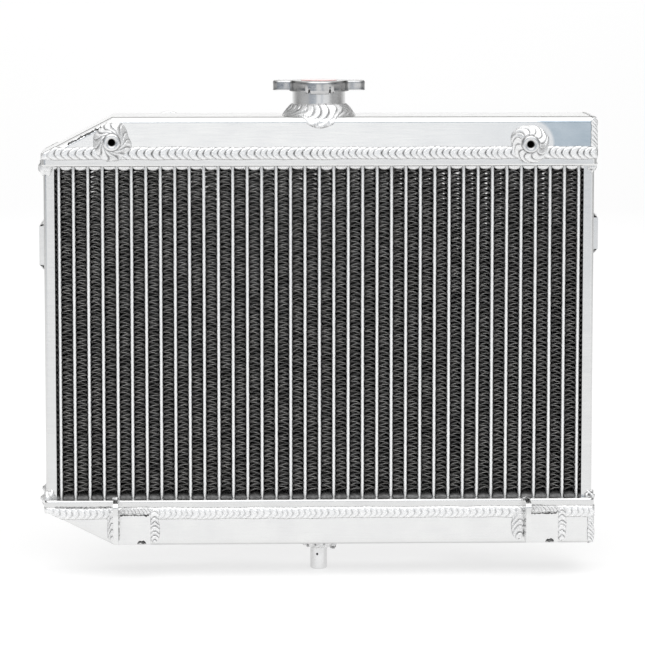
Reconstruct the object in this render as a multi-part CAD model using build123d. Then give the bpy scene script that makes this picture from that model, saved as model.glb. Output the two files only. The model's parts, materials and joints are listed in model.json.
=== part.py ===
from build123d import *
import os
from math import cos, radians, sin, sqrt

# A two-row, down-flow aluminium car radiator with welded tanks and a pressure cap.
# Millimetres, +Z up, +X to the right seen from the front, +Y towards the engine.
# The origin is on the axis of the lower locating pin, at the pin's shoulder.

# ---------------------------------------------------------------- driving dimensions
SHEET = 2.0                  # tanks, end plates and header plates
BRAZE_GAP = 0.05             # round each tube in its header slot

# Heights, stacked up from the pin's shoulder
PAD_THICK = 4.0
TANK_BOTTOM = PAD_THICK
LOWER_SEAM = TANK_BOTTOM + 23.0
LOWER_HEADER = TANK_BOTTOM + 32.0
UPPER_HEADER = TANK_BOTTOM + 263.9
UPPER_SEAM = TANK_BOTTOM + 273.1
TANK_TOP = TANK_BOTTOM + 298.0

# Core
TUBE_COUNT = 37
TUBE_PITCH = 10.0
TUBE_THICK = 2.0
TUBE_WIDTH = 18.5
TUBE_WALL = 0.3
TUBE_STAND_OUT = 2.0         # past the header plate, inside the tank
CORE_DEPTH = 40.0
FIN_DEPTH = 39.6
FIN_GAUGE = 0.1
FIN_WAVES = 64
FIN_BOTTOM = TANK_BOTTOM + 36.4
FIN_TOP = TANK_BOTTOM + 260.2
FIN_SIDE_GAP = 0.02

# Tanks and headers
TANK_DEPTH = 60.0
TANK_END = 190.2             # outer face of the right-hand end plates
TANK_BEND = 4.0
HEADER_HALF = 191.5
HEADER_CORNER = 3.0
HEADER_BEND = 1.5
TOP_OUTLINE = [(-190.9, UPPER_SEAM), (-142.8, TANK_TOP), (TANK_END, TANK_TOP), (TANK_END, UPPER_SEAM)]
BOTTOM_OUTLINE = [
    (-189.5, LOWER_SEAM),
    (-143.4, TANK_BOTTOM),
    (TANK_END, TANK_BOTTOM),
    (TANK_END, LOWER_SEAM),
]

# Side plates: channels that close the core between the two headers
SIDE_OUTER = 190.5
SIDE_SHEET = 1.5
SIDE_FLANGE_EDGE = 183.1
SIDE_DEPTH = 43.4
SIDE_BEND = 2.0
TACK_R = 3.0                 # weld tacks at the side plates' corners

# Weld beads
BEAD = 1.4                   # how far a seam stands proud of the sheet
BEAD_CHAMFER = 1.2
END_BEAD = 4.0               # width of the bead round an end plate
END_BEAD_LAP = 2.5           # how far it laps over the tank's own sheet
END_BEAD_PROUD = 0.8
END_BEAD_RISE = 0.4          # above or below the tank
SEAM_END_PROUD = 0.5         # past the header plates' ends
SLIVER = 5.0                 # mm3; smaller scraps of a cut bead are left out
LOWER_BEAD = (TANK_BOTTOM + 18.6, TANK_BOTTOM + 27.0)
UPPER_BEAD = (TANK_BOTTOM + 268.7, TANK_BOTTOM + 277.6)
UPPER_BEAD_CORNER = ((-193.0, UPPER_BEAD[1] + 1), (-193.0, UPPER_SEAM - 1), (-181.5, UPPER_BEAD[1] + 1))
LOWER_BEAD_CORNER = ((-193.0, LOWER_BEAD[0] - 1), (-193.0, LOWER_SEAM + 1), (-179.5, LOWER_BEAD[0] - 1))

# Filler neck, set a little forward of the middle of the tank
NECK_Y = -5.0
NECK_R = 18.4
NECK_BORE_R = 16.9
NECK_RIM = TANK_BOTTOM + 320.0
SEAT_TOP = TANK_BOTTOM + 296.0
SEAT_THICK = 1.5
SEAT_BORE_R = 12.5
CAM_R = 19.8
CAM_BOTTOM = TANK_BOTTOM + 314.6
CAM_NOTCH_DEG = 70.0
NIPPLE_R = 4.0
NIPPLE_BORE_R = 2.5
NIPPLE_Z = TANK_BOTTOM + 307.5
NIPPLE_LENGTH = 22.0
NIPPLE_COLLAR_R = 4.8        # stops the hose before it meets the cap's rear tab
NIPPLE_COLLAR = 4.0
NIPPLE_BEAD = (5.4, 1.5)     # radius and width of its weld
NECK_BEAD = [                # radius and height of the corners of its weld
    (NECK_R, TANK_TOP - 7.0),
    (27.0, TANK_TOP - 7.0),
    (25.0, TANK_TOP),
    (NECK_R, TANK_TOP + 6.5),
]

# Pressure cap
CAP_R = 21.25
CAP_SHEET = 1.0
CAP_TOP = TANK_BOTTOM + 322.3
CAP_PLATE = 1.2
CAP_SKIRT = TANK_BOTTOM + 315.1
CAP_TAB_BOTTOM = TANK_BOTTOM + 313.2
CAP_TAB_INNER_R = 18.75
CAP_TAB_DEG = 54.0
EAR_REACH = 32.0
EAR_WIDTH = 17.0
EAR_BOTTOM = TANK_BOTTOM + 315.6
EAR_CORNER = 3.0
LABEL_R = 12.5
LABEL_THICK = 0.2
RIVET_R = 2.5
RIVET_HEAD_R = 4.5
RIVET_HEAD_THICK = 1.0
RIVET_PLAY = 0.3
RUNNING_GAP = 0.05
GASKET_REST_GAP = 0.2
GASKET_THICK = 0.45
DIAPHRAGM_R = 19.0
DIAPHRAGM_THICK = 0.25
DIAPHRAGM_LOW = NECK_RIM + GASKET_REST_GAP + GASKET_THICK
BELL_R = 14.8
BELL_SHEET = 0.8
BELL_LIP_R = 12.4
BELL_COLLAR_R = 5.5
BELL_SHOULDER = 1.0
BELL_TOP = TANK_BOTTOM + 320.2
BELL_BOTTOM = TANK_BOTTOM + 302.0
VALVE_DISC_R = 14.6
VALVE_FLANGE_R = 13.5
VALVE_HUB_R = 8.0
VALVE_BOTTOM = TANK_BOTTOM + 298.8
VALVE_DISC = 1.0
VALVE_FLANGE_Z = TANK_BOTTOM + 303.0
VALVE_SEAL_BORE_R = 6.5
VALVE_SEAL_BOTTOM = SEAT_TOP + 0.3
SPRING_R = 10.2
SPRING_WIRE = 1.6
SPRING_TURNS = 4
STEM_R = 1.2
VACUUM_DISC_R = 4.5
VACUUM_DISC = 1.2
VACUUM_GAP = 0.3             # from the valve plate, so the disc can drop and close
STEM_HEAD_R = 3.2
STEM_HEAD = 0.8
STEM_HEAD_Z = TANK_BOTTOM + 308.0
VACUUM_COIL_R = 2.2
VACUUM_WIRE = 0.5
VACUUM_TURNS = 4

# Hose necks on the engine side
HOSE_R = 12.7
HOSE_WALL = 2.0
HOSE_REACH = 40.0
HOSE_BEAD_R = 13.7
HOSE_BEAD_WIDTH = 3.0
HOSE_BEAD_ROUND = 0.9
HOSE_BEAD_FROM_END = 5.0
HOSE_WELD = (HOSE_R + 4.5, HOSE_R + 0.8, 4.5)      # base radius, top radius, height
HOSE_WELD_LAP = 1.5          # past the tank's top or bottom
INLET = (-105.0, TANK_BOTTOM + 283.6)
OUTLET = (112.0, TANK_BOTTOM + 14.4)

# Drain on the engine side, thread M12 x 1.5
DRAIN = (-60.0, TANK_BOTTOM + 9.8)
DRAIN_BOSS_R = 8.5
DRAIN_BOSS_LENGTH = 9.0
DRAIN_THREAD_R = 5.2
DRAIN_HEAD_ACROSS = 14.0
DRAIN_HEAD_LENGTH = 6.0
DRAIN_FLANGE = 1.2
DRAIN_WELD = (DRAIN_BOSS_R + 2.4, DRAIN_BOSS_R + 0.4, 2.8)
WASHER_R = 8.0
WASHER_THICK = 1.5

# Front bosses, thread M6
BOSS_R = 6.1
BOSS_LENGTH = 8.0
BOSS_THREAD_R = 2.5
BOSS_THREAD_DEPTH = 7.0
BOSSES = {"left": (-142.8, TANK_BOTTOM + 281.0), "right": (144.8, TANK_BOTTOM + 279.3)}
BOSS_CHAMFER = 0.5
BOSS_WELD = (13.5, BOSS_R + 1.2, 3.5)

# Bottom brackets: angles with one leg on the tank and one standing forward
LEG_THICK = 3.4
LEG_REACH = 22.0
LEG_HOLE_R = 3.3
LEG_HOLE_OUT = 12.0
LEG_CORNER = 4.0
FOOT_THICK = 3.0
FOOT_TOP = TANK_BOTTOM + 22.5
FOOT_BOTTOM = TANK_BOTTOM + 1.2
LEG_BOTTOM = TANK_BOTTOM + 4.0
BRACKET_HOLE_Z = TANK_BOTTOM + 17.0
BRACKETS = {
    "left": {"leg": -143.2, "foot_end": -117.8, "leg_top": TANK_BOTTOM + 33.7, "notch": -124.0},
    "right": {"leg": 142.1, "foot_end": 166.0, "leg_top": TANK_BOTTOM + 32.6, "notch": 160.3},
}
FOOT_NOTCH_R = 3.2
BRACKET_BEAD_R = 4.0
BRACKET_BEAD_OFF = {"top": 2.0, "right": 2.5, "left": 2.0}     # its axis from the edge it welds

# Lower locating pin
PIN_R = 6.0
PIN_TIP = -18.0
PIN_CHAMFER = 1.0
PIN_SPIGOT_R = 5.0
PIN_HOLE_R = 0.85
PIN_HOLE_DEPTH = 3.0
PIN_HOLE_X = -1.2
PIN_HOLE_Z = -7.0
PAD_X = (-6.5, 12.3)
PAD_DEPTH = 16.0
PIN_WELD_R = 13.5
PIN_WELD_TOP_R = 7.5

# Mounting pads on the side plates, thread M6
SIDE_PADS = {
    "left": {"side": -1, "z": (TANK_BOTTOM + 195.0, TANK_BOTTOM + 222.0)},
    "right": {"side": 1, "z": (TANK_BOTTOM + 205.0, TANK_BOTTOM + 227.0)},
}
SIDE_PAD_THICK = 3.5
SIDE_PAD_DEPTH = 30.0
SIDE_BEAD = 4.0

FACE_Y = TANK_DEPTH / 2
EPS = 0.01


# ---------------------------------------------------------------- helpers
def save(name, shape):
    export_step(shape, "parts/" + name + ".step")


def group(solids):
    return Compound(children=list(solids))


def lumps(shapes):
    """The solids of some cut shapes, without the slivers that cutting leaves."""
    return group([solid for shape in shapes for solid in shape.solids() if solid.volume > SLIVER])


def block(x, y, z):
    """A box between two corners, each given as a (low, high) pair."""
    size = [high - low for low, high in (x, y, z)]
    middle = [(high + low) / 2 for low, high in (x, y, z)]
    return Pos(*middle) * Box(*size)


def rod_z(radius, low, high, x=0.0, y=0.0):
    return Pos(x, y, (low + high) / 2) * Cylinder(radius, high - low)


def rod_y(radius, low, high, x, z):
    return Pos(x, (low + high) / 2, z) * Rot(90, 0, 0) * Cylinder(radius, high - low)


def rod_x(radius, low, high, y, z):
    return Pos((low + high) / 2, y, z) * Rot(0, 90, 0) * Cylinder(radius, high - low)


def spin(points, y=NECK_Y):
    """A ring about the cap's axis from its half section, given as (radius, height) points."""
    return Pos(0, y, 0) * revolve(Plane.XZ * Polygon(*points, align=None), Axis.Z)


def ring(outer, inner, low, high, y=NECK_Y):
    return rod_z(outer, low, high, y=y) - rod_z(inner, low - 1, high + 1, y=y)


def sector(radius, low, high, width_deg, towards_deg, y=NECK_Y):
    """A wedge of a disc about the cap's axis."""
    half = radians(width_deg / 2)
    middle = radians(towards_deg)
    reach = radius / cos(half)
    edges = [middle - half, middle + half]
    corners = [(0, 0)] + [(reach * cos(a), reach * sin(a)) for a in edges]
    wedge = extrude(Plane.XY.offset(low) * Polygon(*corners, align=None), high - low)
    return Pos(0, y, 0) * wedge & rod_z(radius, low, high, y=y)


def cut_all(solid, parts):
    for part in parts:
        solid -= part
    return solid


def coil(radius, wire_r, low, high, turns):
    """A coil spring about the cap's axis between two heights."""
    height = high - low - 2 * wire_r
    path = Helix(pitch=height / turns, height=height, radius=radius)
    section = Plane(origin=path @ 0, z_dir=path % 0) * Circle(wire_r)
    return Pos(0, NECK_Y, low + wire_r) * sweep(section, path=path, is_frenet=True)


# ---------------------------------------------------------------- core
def flat_tube(width, thick, length):
    return extrude(SlotOverall(width, thick, rotation=90), length)


def tube_columns():
    first = -(TUBE_COUNT - 1) / 2 * TUBE_PITCH
    return [first + i * TUBE_PITCH for i in range(TUBE_COUNT)]


def row_y(row):
    """Middle of the front (-1) or rear (+1) row of tubes."""
    return row * (CORE_DEPTH - TUBE_WIDTH) / 2


def tube_row(row):
    low = LOWER_HEADER - SHEET - TUBE_STAND_OUT
    high = UPPER_HEADER + SHEET + TUBE_STAND_OUT
    inner = flat_tube(TUBE_WIDTH - 2 * TUBE_WALL, TUBE_THICK - 2 * TUBE_WALL, high - low)
    tube = flat_tube(TUBE_WIDTH, TUBE_THICK, high - low) - inner
    return group([Pos(x, row_y(row), low) * tube for x in tube_columns()])


def fin_strip():
    """One corrugated strip: a zigzag of thin legs, extruded through the depth of the core."""
    legs = 2 * FIN_WAVES
    half = (TUBE_PITCH - TUBE_THICK) / 2 - FIN_SIDE_GAP
    rise = (FIN_TOP - FIN_BOTTOM) / legs
    crest = FIN_GAUGE * sqrt(4 * half**2 + rise**2) / rise
    heights = [FIN_BOTTOM + i * rise for i in range(legs + 1)]
    right = [(half if i % 2 else crest - half, z) for i, z in enumerate(heights)]
    left = [(half - crest if i % 2 else -half, z) for i, z in enumerate(heights)]
    return extrude(Plane.XZ * Polygon(*right, *reversed(left), align=None), FIN_DEPTH / 2, both=True)


def fin_strips():
    strip = fin_strip()
    first = -TUBE_COUNT / 2 * TUBE_PITCH
    return group([Pos(first + i * TUBE_PITCH, 0, 0) * strip for i in range(TUBE_COUNT + 1)])


def side_plate(side):
    web = side * (SIDE_OUTER + SIDE_FLANGE_EDGE) / 2
    outer = Rectangle(SIDE_OUTER - SIDE_FLANGE_EDGE, SIDE_DEPTH)
    outside = outer.vertices().group_by(Axis.X)[-1 if side > 0 else 0]
    section = fillet(outside, SIDE_BEND)
    section -= Pos(-side * SIDE_SHEET, 0) * Rectangle(
        SIDE_OUTER - SIDE_FLANGE_EDGE, SIDE_DEPTH - 2 * SIDE_SHEET
    )
    return Pos(web, 0, LOWER_HEADER) * extrude(section, UPPER_HEADER - LOWER_HEADER)


# ---------------------------------------------------------------- headers and tanks
def header_block(face, seam):
    """The outside of a header pan, filled in: its flat face at face and its lip ending at seam."""
    low, high = min(face, seam), max(face, seam)
    plan = Plane.XY.offset(low) * RectangleRounded(2 * HEADER_HALF, TANK_DEPTH, HEADER_CORNER)
    solid = extrude(plan, high - low)
    rim = solid.faces().filter_by(Axis.Z).sort_by(Axis.Z)[0 if face < seam else -1]
    return fillet(rim.edges(), HEADER_BEND)


def header_plate(face, seam):
    inside = SHEET if face < seam else -SHEET
    low, high = sorted([face + inside, seam + inside])
    room = RectangleRounded(2 * (HEADER_HALF - SHEET), TANK_DEPTH - 2 * SHEET, HEADER_CORNER - SHEET)
    pan = header_block(face, seam) - extrude(Plane.XY.offset(low) * room, high - low)
    slot = SlotOverall(TUBE_WIDTH + 2 * BRAZE_GAP, TUBE_THICK + 2 * BRAZE_GAP, rotation=90)
    slots = [Pos(x, row_y(row)) * slot for x in tube_columns() for row in (-1, 1)]
    through = Plane.XY.offset(min(face, face + inside) - 1) * Sketch(children=slots)
    return pan - extrude(through, SHEET + 2)


def tank_block(outline, seam):
    """The outside of a tank, filled in, with its long front and rear edges bent round."""
    solid = extrude(Plane.XZ * Polygon(*outline, align=None), FACE_Y, both=True)

    def is_bend(edge):
        middle = edge.center()
        on_face = abs(abs(middle.Y) - FACE_Y) < EPS
        return on_face and abs(middle.Z - seam) > EPS and abs(middle.X - TANK_END) > EPS

    return fillet(solid.edges().filter_by(is_bend), TANK_BEND)


def tank_room(outline, seam):
    """The space inside a tank, carried on through its open mouth and its right-hand end."""
    inset = offset(Polygon(*outline, align=None), -SHEET, kind=Kind.INTERSECTION)
    room = extrude(Plane.XZ * inset, FACE_Y - SHEET, both=True)
    out = SHEET if seam < outline[1][1] else -SHEET
    shifts = [(x, z) for x in (0, 1.5 * SHEET) for z in (0, -out)]
    return [Pos(x, 0, z) * room for x, z in shifts]


def end_slice(outline):
    heights = [z for _, z in outline]
    return block((TANK_END - SHEET, TANK_END + 1), (-FACE_Y, FACE_Y), (min(heights), max(heights)))


def hose_cut(place):
    return rod_y(HOSE_R, FACE_Y - 2 * SHEET, FACE_Y + 2 * SHEET, *place)


def seam_weld(bead, corner):
    """The bead round a header plate's lip, without the corner where the tank slants away."""
    low, high = bead
    plan = RectangleRounded(2 * (HEADER_HALF + SEAM_END_PROUD), TANK_DEPTH + 2 * BEAD, HEADER_CORNER + BEAD)
    solid = extrude(Plane.XY.offset(low) * plan, high - low)
    rims = solid.faces().filter_by(Axis.Z).edges()
    slant = extrude(Plane.XZ * Polygon(*corner, align=None), TANK_DEPTH, both=True)
    return chamfer(rims, BEAD_CHAMFER) - slant


def end_weld(outline, bead, parts):
    """The bead that closes an end plate, down the front, across the tank and down the rear."""
    is_top = outline is TOP_OUTLINE
    heights = [z for _, z in outline]
    low = bead[1] - BEAD if is_top else min(heights) - END_BEAD_RISE
    high = max(heights) + END_BEAD_RISE if is_top else bead[0] + BEAD
    edge = FACE_Y + END_BEAD_PROUD
    solid = block((TANK_END - END_BEAD_LAP, TANK_END + END_BEAD_PROUD), (-edge, edge), (low, high))
    middle = (low - 1, high - END_BEAD) if is_top else (low + END_BEAD, high + 1)
    solid -= block((TANK_END, TANK_END + 2 * BEAD), (END_BEAD - edge, edge - END_BEAD), middle)
    return cut_all(solid, parts)


def cone_weld(sizes, place, towards):
    """A bead round a fitting on the front (-1) or rear (+1) face of a tank."""
    x, z = place
    cone = Cone(*sizes, align=(Align.CENTER, Align.CENTER, Align.MIN))
    return Pos(x, towards * FACE_Y, z) * Rot(-90 * towards, 0, 0) * cone


# ---------------------------------------------------------------- filler neck and cap
def filler_neck():
    seat_bottom = SEAT_TOP - SEAT_THICK
    body = ring(NECK_R, NECK_BORE_R, seat_bottom, NECK_RIM)
    body += ring(NECK_BORE_R + EPS, SEAT_BORE_R, seat_bottom, SEAT_TOP)
    cams = ring(CAM_R, NECK_R - EPS, CAM_BOTTOM, NECK_RIM)
    for towards in (-90, 90):
        cams -= sector(CAM_R + 1, CAM_BOTTOM - 1, NECK_RIM + 1, CAM_NOTCH_DEG, towards)
    port = rod_y(NIPPLE_BORE_R, NECK_Y, NECK_Y + NECK_R + 1, 0, NIPPLE_Z)
    return body + cams - port


def overflow_nipple():
    start, end = NECK_Y + NECK_BORE_R, NECK_Y + NECK_R + NIPPLE_LENGTH
    tube = rod_y(NIPPLE_R, start, end, 0, NIPPLE_Z)
    tube += rod_y(NIPPLE_COLLAR_R, start, NECK_Y + NECK_R + NIPPLE_COLLAR, 0, NIPPLE_Z)
    tube -= rod_z(NECK_R, SEAT_TOP, NECK_RIM, y=NECK_Y)
    return tube - rod_y(NIPPLE_BORE_R, start, end + 1, 0, NIPPLE_Z)


def cap_shell():
    inner_r = CAP_R - CAP_SHEET
    shell = rod_z(CAP_R, CAP_SKIRT, CAP_TOP, y=NECK_Y)
    shell = fillet(shell.faces().sort_by(Axis.Z)[-1].edges(), CAP_PLATE)
    for side in (-1, 1):
        x = sorted([side * (CAP_R - 3), side * EAR_REACH])
        y = (NECK_Y - EAR_WIDTH / 2, NECK_Y + EAR_WIDTH / 2)
        ear = block(x, y, (EAR_BOTTOM, CAP_TOP))
        ear = fillet(ear.edges().filter_by(Axis.Z).group_by(Axis.X)[-1 if side > 0 else 0], EAR_CORNER)
        room_x = sorted([side * (CAP_R - 2), side * (EAR_REACH - CAP_PLATE)])
        room_y = (y[0] + CAP_PLATE, y[1] - CAP_PLATE)
        shell += ear - block(room_x, room_y, (EAR_BOTTOM - 1, CAP_TOP - CAP_PLATE))
    shell -= rod_z(inner_r, CAP_SKIRT - 3, CAP_TOP - CAP_PLATE, y=NECK_Y)
    for towards in (-90, 90):
        drop = sector(CAP_R, CAP_TAB_BOTTOM, CAP_SKIRT, CAP_TAB_DEG, towards)
        shell += drop - rod_z(inner_r, CAP_TAB_BOTTOM - 1, CAP_SKIRT + 1, y=NECK_Y)
        hook = sector(CAP_R, CAP_TAB_BOTTOM, CAP_TAB_BOTTOM + CAP_SHEET, CAP_TAB_DEG, towards)
        shell += hook - rod_z(CAP_TAB_INNER_R, CAP_TAB_BOTTOM - 1, CAP_SKIRT, y=NECK_Y)
    return shell


def cap_rivet():
    """Hangs the valve from the shell: a shank under the plate, with a head inside the bell."""
    under = BELL_TOP - BELL_SHEET - RIVET_PLAY
    shank = rod_z(RIVET_R, under, CAP_TOP - CAP_PLATE, y=NECK_Y)
    return shank + rod_z(RIVET_HEAD_R, under - RIVET_HEAD_THICK, under, y=NECK_Y)


def cap_top_gasket():
    return ring(DIAPHRAGM_R, BELL_R + 0.5, DIAPHRAGM_LOW - GASKET_THICK, DIAPHRAGM_LOW)


def cap_diaphragm():
    return ring(DIAPHRAGM_R, RIVET_R + RUNNING_GAP, DIAPHRAGM_LOW, DIAPHRAGM_LOW + DIAPHRAGM_THICK)


def cap_bell():
    inner_r = BELL_R - BELL_SHEET
    under = BELL_TOP - BELL_SHEET
    top = ring(BELL_R - BELL_SHOULDER, RIVET_R + RUNNING_GAP, under, BELL_TOP)
    collar = ring(BELL_COLLAR_R, RIVET_R + RUNNING_GAP, BELL_TOP, DIAPHRAGM_LOW)
    wall = ring(BELL_R, inner_r, BELL_BOTTOM, under)
    shoulder = ring(BELL_R, inner_r - BELL_SHOULDER, under - BELL_SHEET, under)
    lip = ring(BELL_R, BELL_LIP_R, BELL_BOTTOM, BELL_BOTTOM + BELL_SHEET)
    return top + collar + wall + shoulder + lip


def pressure_valve_plate():
    disc = rod_z(VALVE_DISC_R, VALVE_BOTTOM, VALVE_BOTTOM + VALVE_DISC, y=NECK_Y)
    hub = rod_z(VALVE_HUB_R, VALVE_BOTTOM + VALVE_DISC, VALVE_FLANGE_Z, y=NECK_Y)
    flange = rod_z(VALVE_FLANGE_R, VALVE_FLANGE_Z, VALVE_FLANGE_Z + VALVE_DISC, y=NECK_Y)
    return disc + hub + flange - rod_z(STEM_R + RUNNING_GAP, VALVE_BOTTOM - 1, VALVE_FLANGE_Z + 2, y=NECK_Y)


def pressure_gasket():
    return ring(VALVE_DISC_R, VALVE_SEAL_BORE_R, VALVE_SEAL_BOTTOM, VALVE_BOTTOM)


def vacuum_valve():
    top = VALVE_BOTTOM - VACUUM_GAP
    disc = rod_z(VACUUM_DISC_R, top - VACUUM_DISC, top, y=NECK_Y)
    stem = rod_z(STEM_R, top, STEM_HEAD_Z, y=NECK_Y)
    return disc + stem + rod_z(STEM_HEAD_R, STEM_HEAD_Z, STEM_HEAD_Z + STEM_HEAD, y=NECK_Y)


# ---------------------------------------------------------------- fittings
def hose_neck(place):
    x, z = place
    end = FACE_Y + HOSE_REACH
    tube = rod_y(HOSE_R, FACE_Y - SHEET, end, x, z)
    bead_low = end - HOSE_BEAD_FROM_END - HOSE_BEAD_WIDTH / 2
    bead = rod_y(HOSE_BEAD_R, bead_low, bead_low + HOSE_BEAD_WIDTH, x, z)
    bead = fillet(bead.edges(), HOSE_BEAD_ROUND)
    return tube + bead - rod_y(HOSE_R - HOSE_WALL, FACE_Y - 2 * SHEET, end + 1, x, z)


def drain_boss():
    x, z = DRAIN
    boss = rod_y(DRAIN_BOSS_R, FACE_Y, FACE_Y + DRAIN_BOSS_LENGTH, x, z)
    return boss - rod_y(DRAIN_THREAD_R, FACE_Y - 1, FACE_Y + DRAIN_BOSS_LENGTH + 1, x, z)


def drain_washer():
    x, z = DRAIN
    low = FACE_Y + DRAIN_BOSS_LENGTH + RUNNING_GAP
    disc = rod_y(WASHER_R, low, low + WASHER_THICK, x, z)
    return disc - rod_y(DRAIN_THREAD_R, low - 1, low + WASHER_THICK + 1, x, z)


def drain_plug():
    x, z = DRAIN
    seat = FACE_Y + DRAIN_BOSS_LENGTH + WASHER_THICK + 2 * RUNNING_GAP
    shank = rod_y(DRAIN_THREAD_R - RUNNING_GAP, FACE_Y, seat, x, z)
    flange = rod_y(WASHER_R, seat, seat + DRAIN_FLANGE, x, z)
    hexagon = RegularPolygon(DRAIN_HEAD_ACROSS / 2, 6, major_radius=False)
    head = Pos(x, seat + DRAIN_FLANGE, z) * Rot(-90, 0, 0) * extrude(hexagon, DRAIN_HEAD_LENGTH)
    return shank + flange + head


def boss(place):
    x, z = place
    outer_end = -FACE_Y - BOSS_LENGTH
    body = rod_y(BOSS_R, outer_end, -FACE_Y, x, z)
    body = chamfer(body.faces().sort_by(Axis.Y)[0].edges(), BOSS_CHAMFER)
    return body - rod_y(BOSS_THREAD_R, outer_end - 1, outer_end + BOSS_THREAD_DEPTH, x, z)


def bracket(sizes):
    leg_x = (sizes["leg"], sizes["leg"] + LEG_THICK)
    leg = block(leg_x, (-FACE_Y - LEG_REACH, -FACE_Y), (LEG_BOTTOM, sizes["leg_top"]))
    front_edges = leg.edges().filter_by(Axis.X).group_by(Axis.Y)[0]
    leg = fillet(front_edges, LEG_CORNER)
    leg -= rod_x(LEG_HOLE_R, leg_x[0] - 1, leg_x[1] + 1, -FACE_Y - LEG_HOLE_OUT, BRACKET_HOLE_Z)
    foot_x = (leg_x[1], sizes["foot_end"])
    foot = block(foot_x, (-FACE_Y - FOOT_THICK, -FACE_Y), (FOOT_BOTTOM, FOOT_TOP))
    foot -= rod_y(FOOT_NOTCH_R, -FACE_Y - FOOT_THICK - 1, -FACE_Y + 1, sizes["notch"], FOOT_BOTTOM)
    return leg + foot


def bracket_welds(sizes):
    """Beads along the foot's top and free end, and down the far side of the standing leg."""
    leg, end, off = sizes["leg"], sizes["foot_end"], BRACKET_BEAD_OFF
    high = FOOT_TOP + off["top"]
    top = rod_x(BRACKET_BEAD_R, leg + LEG_THICK, end, -FACE_Y, high)
    right = rod_z(BRACKET_BEAD_R, FOOT_BOTTOM + 1, high, x=end + off["right"], y=-FACE_Y)
    left = rod_z(BRACKET_BEAD_R, FOOT_BOTTOM + 3, FOOT_TOP, x=leg - off["left"], y=-FACE_Y)
    return [top, right - top, left]


def lower_pin():
    """A plain pin with a turned-down spigot that goes through the pad to the tank."""
    pin = rod_z(PIN_R, PIN_TIP, 0)
    pin = chamfer(pin.faces().sort_by(Axis.Z)[0].edges(), PIN_CHAMFER)
    pin += rod_z(PIN_SPIGOT_R, -1, PAD_THICK)
    return pin - rod_y(PIN_HOLE_R, -PIN_R - 1, -PIN_R + PIN_HOLE_DEPTH, PIN_HOLE_X, PIN_HOLE_Z)


def pin_pad():
    pad = block(PAD_X, (-PAD_DEPTH / 2, PAD_DEPTH / 2), (0, PAD_THICK))
    return pad - rod_z(PIN_SPIGOT_R, -1, PAD_THICK + 1)


def side_pad(sizes):
    side = sizes["side"]
    x = sorted([side * SIDE_OUTER, side * (SIDE_OUTER + SIDE_PAD_THICK)])
    half = SIDE_PAD_DEPTH / 2
    pad = block(x, (-half, half), sizes["z"])
    middle = sum(sizes["z"]) / 2
    return pad - rod_x(BOSS_THREAD_R, x[0] - 1, x[1] + 1, 0, middle)


def side_pad_welds(sizes):
    """A sloping bead above and below a pad."""
    side, (low, high) = sizes["side"], sizes["z"]
    near, far = side * SIDE_OUTER, side * (SIDE_OUTER + SIDE_PAD_THICK)
    half = SIDE_PAD_DEPTH / 2
    beads = []
    for edge, tip in ((high, high + SIDE_BEAD), (low, low - SIDE_BEAD)):
        wedge = Polygon((near, edge), (far, edge), (near, tip), align=None)
        beads.append(extrude(Plane.XZ * wedge, half, both=True))
    return beads


def corner_welds(parts):
    """Tacks that join each side plate's front and rear flanges to the header plates."""
    tacks = []
    for x in (-SIDE_OUTER, SIDE_OUTER):
        for y in (-SIDE_DEPTH / 2, SIDE_DEPTH / 2):
            for z in (LOWER_HEADER, UPPER_HEADER):
                tack = rod_x(TACK_R, x - TACK_R, x + TACK_R, y, z)
                tacks.append(cut_all(tack, parts))
    return tacks


# ---------------------------------------------------------------- assembly
def make_core():
    save("tubes_front_row", tube_row(-1))
    save("tubes_rear_row", tube_row(1))
    save("fin_strips", fin_strips())
    save("side_plate_left", side_plate(-1))
    save("side_plate_right", side_plate(1))


def make_tanks():
    """Headers, tanks, end plates and their seams; returns the filled-in outsides."""
    top = tank_block(TOP_OUTLINE, UPPER_SEAM)
    bottom = tank_block(BOTTOM_OUTLINE, LOWER_SEAM)
    top_header = header_block(UPPER_HEADER, UPPER_SEAM)
    bottom_header = header_block(LOWER_HEADER, LOWER_SEAM)
    drain_hole = rod_y(DRAIN_THREAD_R, FACE_Y - 2 * SHEET, FACE_Y + 1, *DRAIN)
    neck_hole = rod_z(NECK_R, TANK_TOP - 2 * SHEET, TANK_TOP + 1, y=NECK_Y)

    save("top_header_plate", header_plate(UPPER_HEADER, UPPER_SEAM) - hose_cut(INLET))
    save("bottom_header_plate", header_plate(LOWER_HEADER, LOWER_SEAM) - hose_cut(OUTLET))

    tanks = (
        ("top_tank", top, TOP_OUTLINE, UPPER_SEAM, [neck_hole, hose_cut(INLET)]),
        ("bottom_tank", bottom, BOTTOM_OUTLINE, LOWER_SEAM, [drain_hole, hose_cut(OUTLET)]),
    )
    for name, outside, outline, seam, holes in tanks:
        end = end_slice(outline)
        save(name, cut_all(outside - end, tank_room(outline, seam) + holes))
        save(name + "_end_plate", outside & end)

    top_seam = seam_weld(UPPER_BEAD, UPPER_BEAD_CORNER)
    bottom_seam = seam_weld(LOWER_BEAD, LOWER_BEAD_CORNER)
    save("weld_top_seam", cut_all(top_seam, [top, top_header, hose_cut(INLET)]))
    save("weld_bottom_seam", cut_all(bottom_seam, [bottom, bottom_header, hose_cut(OUTLET)]))
    ends = [
        end_weld(TOP_OUTLINE, UPPER_BEAD, [top, top_seam]),
        end_weld(BOTTOM_OUTLINE, LOWER_BEAD, [bottom, bottom_seam]),
    ]
    save("weld_end_plates", lumps(ends))
    return {
        "top": [top, top_header, top_seam],
        "bottom": [bottom, bottom_header, bottom_seam],
    }


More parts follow.
